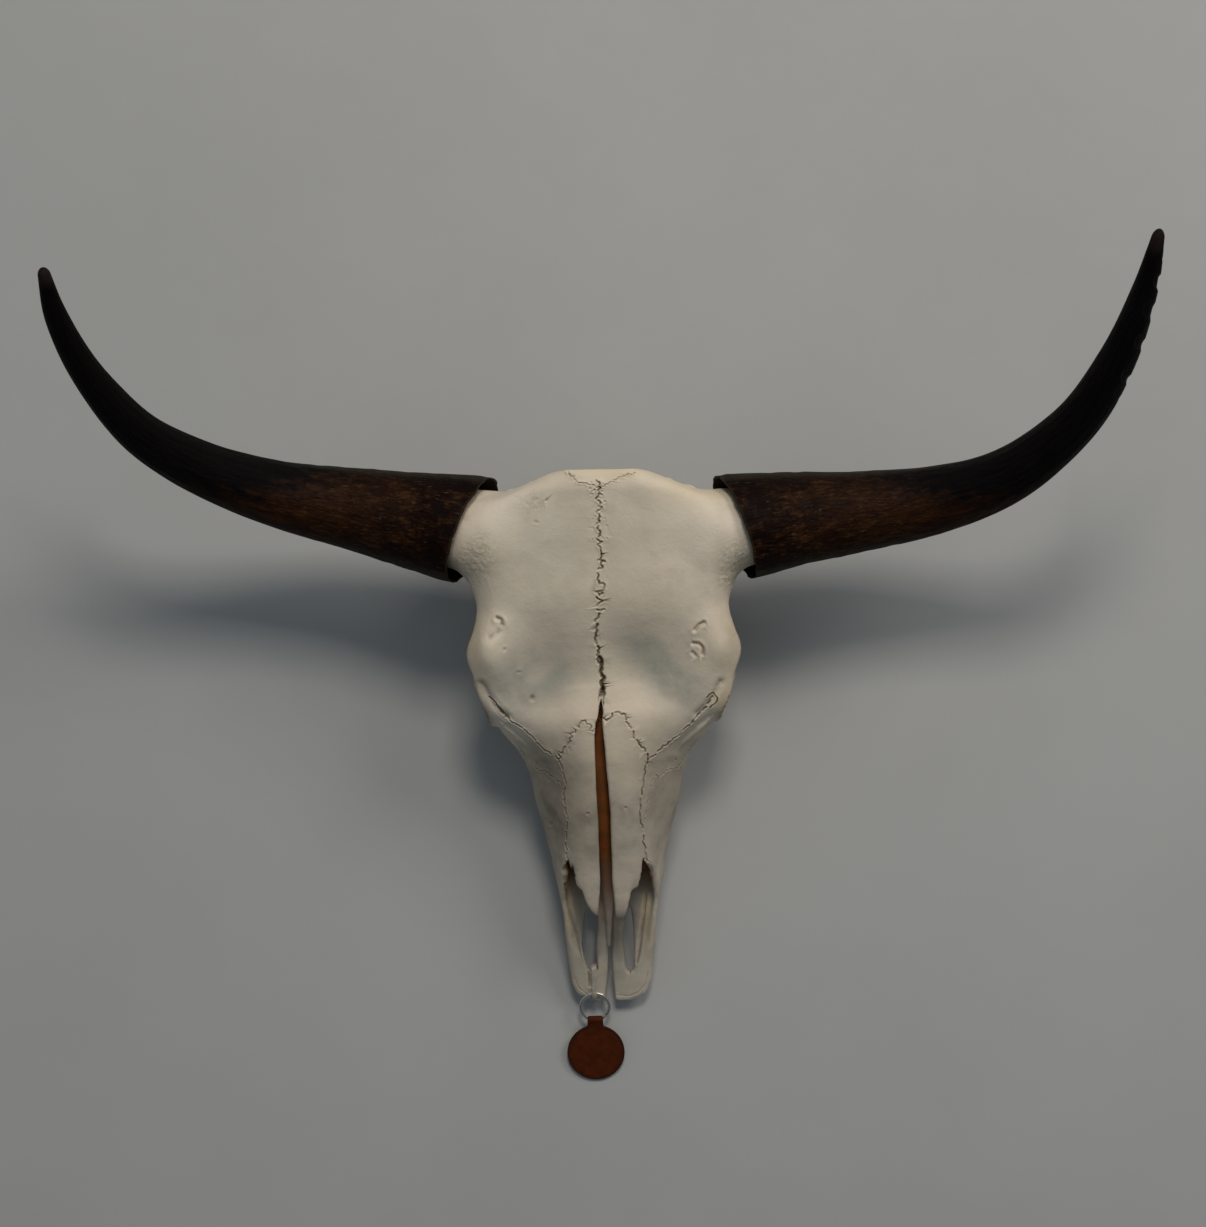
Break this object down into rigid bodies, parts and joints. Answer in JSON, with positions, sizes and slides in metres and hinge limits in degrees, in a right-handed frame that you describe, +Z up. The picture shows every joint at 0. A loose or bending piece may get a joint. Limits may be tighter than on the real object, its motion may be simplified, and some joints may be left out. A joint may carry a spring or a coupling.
{
  "type": "yak skull with horns",
  "caption": "Bleached yak skull without its lower jaw, with long curved hollow horns on bony cores and a round leather key fob on a steel ring tied to its snout",
  "frame": {"origin": "middle of the footprint, on the surface the skull lies on", "axes": "+X to the right of the face as seen from above, +Y from the snout to the poll, +Z up"},
  "size_m": [0.8958, 0.7288, 0.3795],
  "materials": {
    "bone": "dry bleached bone, matt, ivory to pale grey with brown stains",
    "horn": "natural horn, satin, streaked dark brown to black",
    "enamel": "old tooth enamel, satin, ivory with brown stain",
    "nylon": "translucent off-white plastic, satin",
    "steel": "nickel plated, bright",
    "leather": "vegetable tanned leather, satin, reddish brown with a dark stitched edge"
  },
  "bodies": {
    "root": {"skull": "bone", "horn_sheath_left": "horn", "horn_sheath_right": "horn", "premolar_2_left": "enamel", "premolar_2_right": "enamel", "premolar_3_left": "enamel", "premolar_3_right": "enamel", "premolar_4_left": "enamel", "premolar_4_right": "enamel", "molar_1_left": "enamel", "molar_1_right": "enamel", "molar_2_left": "enamel", "molar_2_right": "enamel", "molar_3_left": "enamel", "molar_3_right": "enamel", "tie": "nylon", "split_ring": "steel", "leather_tag": "leather"}
  },
  "joints": []
}
